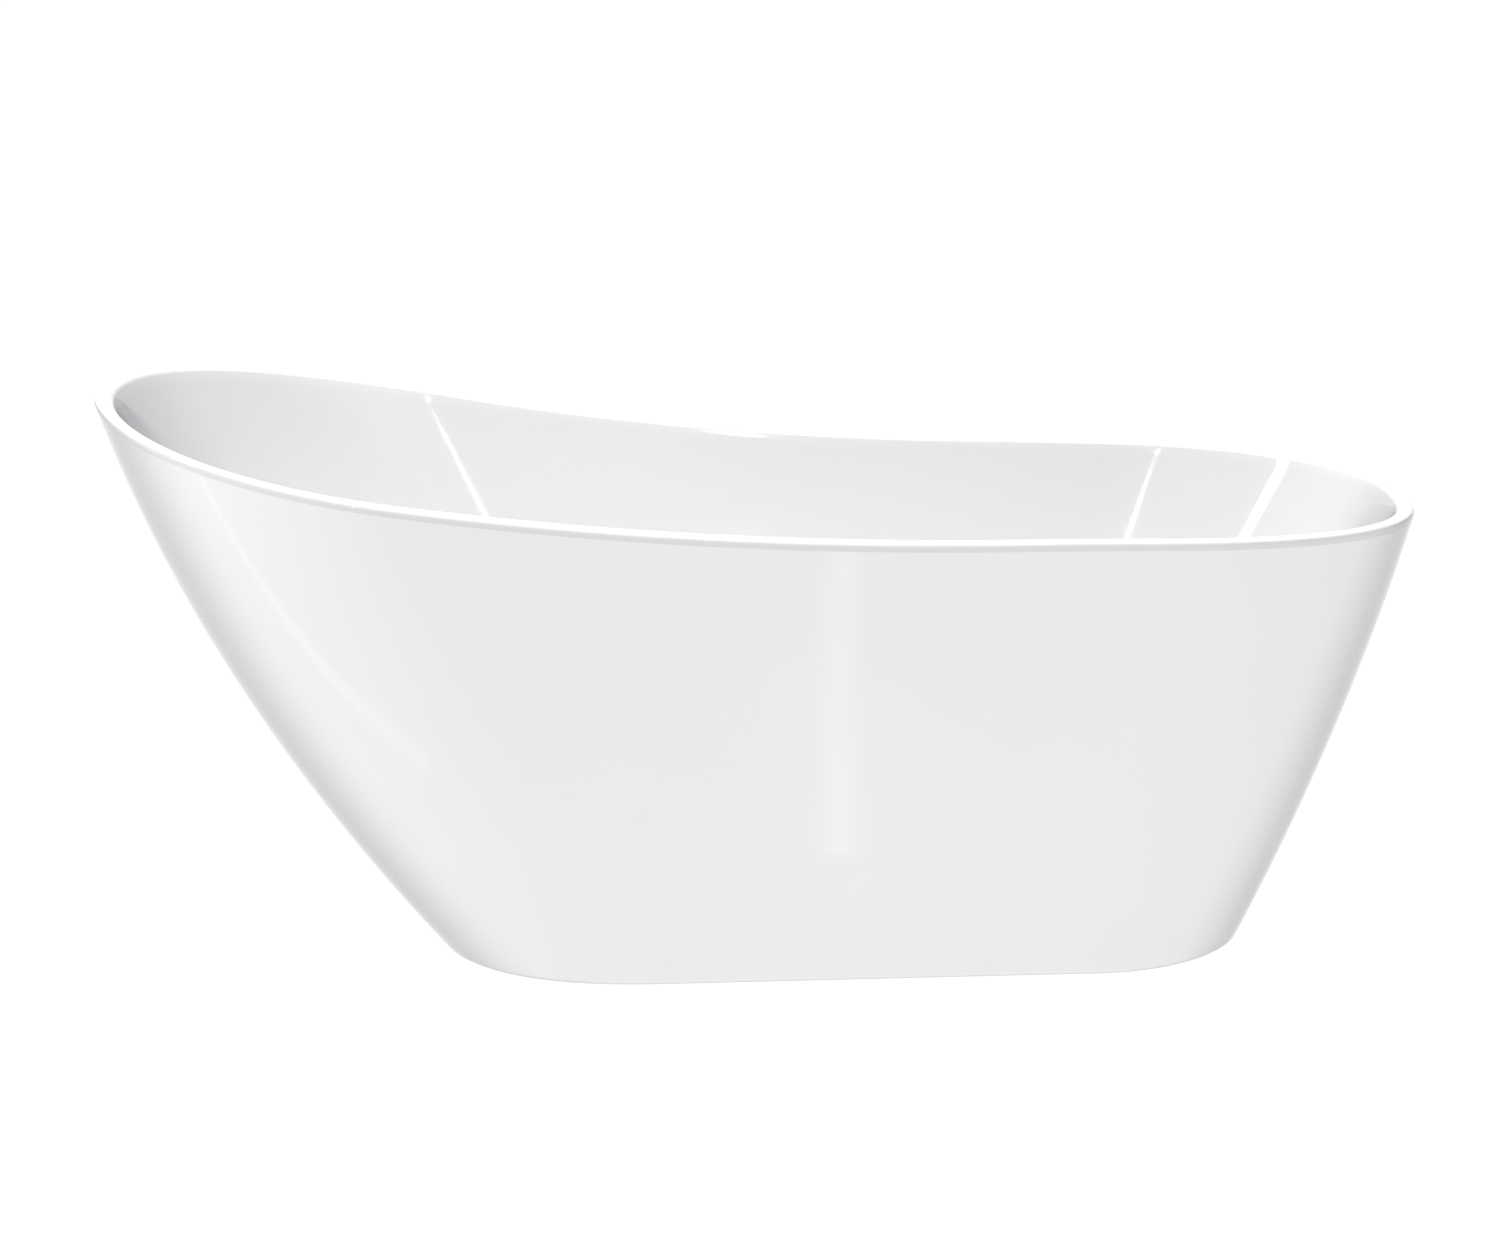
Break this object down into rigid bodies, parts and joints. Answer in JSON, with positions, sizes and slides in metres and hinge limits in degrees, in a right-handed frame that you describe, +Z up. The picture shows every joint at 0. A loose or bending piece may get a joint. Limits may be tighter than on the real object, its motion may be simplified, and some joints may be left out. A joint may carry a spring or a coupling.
{
  "type": "freestanding bathtub",
  "caption": "Freestanding double-walled bathtub with one raised end, levelling feet, press-open waste and slotted overflow.",
  "frame": {"origin": "on the floor, below the middle of the tub's length and width", "axes": "+X along the tub from the raised back to the low foot end, +Y across it, +Z up"},
  "size_m": [1.6432, 0.7894, 0.7224],
  "materials": {
    "acrylic": "high-gloss sanitary acrylic",
    "acrylic_outer": "high-gloss sanitary acrylic, the skirt",
    "bond_resin": "filled polyester resin, rough",
    "board": "raw chipboard",
    "frame_steel": "galvanised, lightly spangled",
    "black_plastic": "moulded polyethylene",
    "zinc_screws": "zinc plated",
    "zinc_steel": "zinc plated",
    "foot_plastic": "glass-filled nylon",
    "block_wood": "raw plywood",
    "bracket_steel": "galvanised strip",
    "chrome": "polished chrome plate",
    "seal_rubber": "matt EPDM",
    "white_plastic": "moulded polypropylene",
    "brass": "turned brass",
    "stem_steel": "stainless steel",
    "hose_plastic": "flexible polypropylene hose"
  },
  "bodies": {
    "root": {"bathing_shell": "acrylic", "outer_skirt": "acrylic_outer", "rim_bond_strip": "bond_resin", "base_board": "board", "frame_rail_front": "frame_steel", "frame_rail_rear": "frame_steel", "frame_cross_back": "frame_steel", "frame_cross_middle": "frame_steel", "frame_cross_foot": "frame_steel", "rail_end_caps": "black_plastic", "board_screws": "zinc_screws", "foot_weld_nuts": "zinc_steel", "foot_lock_nuts": "zinc_steel", "skirt_block_1": "block_wood", "skirt_bracket_1": "bracket_steel", "skirt_block_2": "block_wood", "skirt_bracket_2": "bracket_steel", "skirt_block_3": "block_wood", "skirt_bracket_3": "bracket_steel", "skirt_block_4": "block_wood", "skirt_bracket_4": "bracket_steel", "bracket_screws": "zinc_screws", "drain_flange": "chrome", "drain_gasket_upper": "seal_rubber", "drain_gasket_lower": "seal_rubber", "waste_shoe": "white_plastic", "tailpiece": "chrome", "tailpiece_washer": "seal_rubber", "tailpiece_nut": "brass", "stopper_barrel": "brass", "stopper_spring": "stem_steel", "overflow_cover": "chrome", "overflow_gasket": "seal_rubber", "overflow_body": "white_plastic", "overflow_screws": "stem_steel", "overflow_hose": "hose_plastic", "hose_clamps": "stem_steel"},
    "stopper": {"stopper_cap": "chrome", "stopper_seal": "seal_rubber", "stopper_stem": "stem_steel"},
    "foot_1_pad": {"foot_pad_1": "foot_plastic"},
    "foot_1_screw": {"foot_stud_1": "zinc_steel"},
    "foot_2_pad": {"foot_pad_2": "foot_plastic"},
    "foot_2_screw": {"foot_stud_2": "zinc_steel"},
    "foot_3_pad": {"foot_pad_3": "foot_plastic"},
    "foot_3_screw": {"foot_stud_3": "zinc_steel"},
    "foot_4_pad": {"foot_pad_4": "foot_plastic"},
    "foot_4_screw": {"foot_stud_4": "zinc_steel"},
    "foot_5_pad": {"foot_pad_5": "foot_plastic"},
    "foot_5_screw": {"foot_stud_5": "zinc_steel"}
  },
  "joints": [
    {"name": "stopper_press", "type": "slide", "parent": "root", "child": "stopper", "axis": [0, 0, 1], "range_m": [-0.009, 0], "stiffness_N_per_m": 300, "springref_m": 0.01, "deforming": ["stopper_spring"]},
    {"name": "foot_1_height", "type": "slide", "parent": "root", "child": "foot_1_pad", "axis": [0, 0, 1], "range_m": [-0.012, 0.003]},
    {"name": "foot_1_turn", "type": "hinge", "parent": "foot_1_pad", "child": "foot_1_screw", "pos_m": [-0.25, -0.13, 0], "axis": [0, 0, 1], "range_deg": [-2468, 617]},
    {"name": "foot_2_height", "type": "slide", "parent": "root", "child": "foot_2_pad", "axis": [0, 0, 1], "range_m": [-0.012, 0.003]},
    {"name": "foot_2_turn", "type": "hinge", "parent": "foot_2_pad", "child": "foot_2_screw", "pos_m": [-0.25, 0.13, 0], "axis": [0, 0, 1], "range_deg": [-2468, 617]},
    {"name": "foot_3_height", "type": "slide", "parent": "root", "child": "foot_3_pad", "axis": [0, 0, 1], "range_m": [-0.012, 0.003]},
    {"name": "foot_3_turn", "type": "hinge", "parent": "foot_3_pad", "child": "foot_3_screw", "pos_m": [0.42, -0.13, 0], "axis": [0, 0, 1], "range_deg": [-2468, 617]},
    {"name": "foot_4_height", "type": "slide", "parent": "root", "child": "foot_4_pad", "axis": [0, 0, 1], "range_m": [-0.012, 0.003]},
    {"name": "foot_4_turn", "type": "hinge", "parent": "foot_4_pad", "child": "foot_4_screw", "pos_m": [0.42, 0.13, 0], "axis": [0, 0, 1], "range_deg": [-2468, 617]},
    {"name": "foot_5_height", "type": "slide", "parent": "root", "child": "foot_5_pad", "axis": [0, 0, 1], "range_m": [-0.012, 0.003]},
    {"name": "foot_5_turn", "type": "hinge", "parent": "foot_5_pad", "child": "foot_5_screw", "pos_m": [0.06, 0, 0], "axis": [0, 0, 1], "range_deg": [-2468, 617]}
  ],
  "couplings": [
    {"joint": "foot_1_turn", "follows": "foot_1_height", "rad_per_m": 3590.4},
    {"joint": "foot_2_turn", "follows": "foot_2_height", "rad_per_m": 3590.4},
    {"joint": "foot_3_turn", "follows": "foot_3_height", "rad_per_m": 3590.4},
    {"joint": "foot_4_turn", "follows": "foot_4_height", "rad_per_m": 3590.4},
    {"joint": "foot_5_turn", "follows": "foot_5_height", "rad_per_m": 3590.4}
  ]
}
